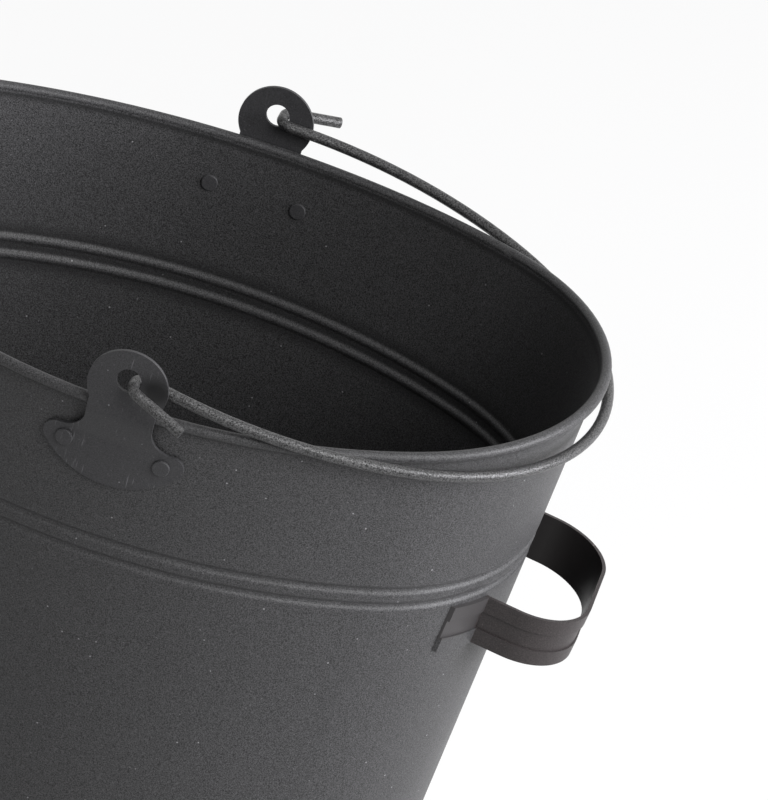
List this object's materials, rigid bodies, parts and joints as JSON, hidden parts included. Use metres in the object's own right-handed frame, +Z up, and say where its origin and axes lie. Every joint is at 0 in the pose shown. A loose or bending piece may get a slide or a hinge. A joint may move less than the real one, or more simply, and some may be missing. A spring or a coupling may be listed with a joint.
{
  "type": "log carrier",
  "caption": "Oval open log carrier of thin painted sheet steel with a wired rim, swaged tapered body, riveted ears, a swinging wire bail and a flat strap handle for tipping.",
  "frame": {"origin": "on the floor, under the middle of the base", "axes": "+Z up, +X towards the end with the tipping handle, the ears at -Y (front) and +Y (back)"},
  "size_m": [0.4682, 0.3732, 0.3356],
  "materials": {
    "body_paint": "matt black powder coat, fine grained",
    "ear_paint": "matt black powder coat",
    "wire_paint": "satin black",
    "strap_paint": "matt black powder coat",
    "bare_steel": "plain drawn wire"
  },
  "bodies": {
    "bucket": {"body_shell": "body_paint", "rim_wire": "bare_steel", "base_panel": "body_paint", "ear_front": "ear_paint", "ear_back": "ear_paint", "rivets_front": "ear_paint", "rivets_back": "ear_paint", "strap_handle": "strap_paint"},
    "bail": {"bail": "wire_paint"}
  },
  "joints": [
    {"name": "bail_swing", "type": "hinge", "parent": "bucket", "child": "bail", "pos_m": [0.003, 0, 0.318], "axis": [0, -1, 0], "range_deg": [0, 186.3]}
  ]
}
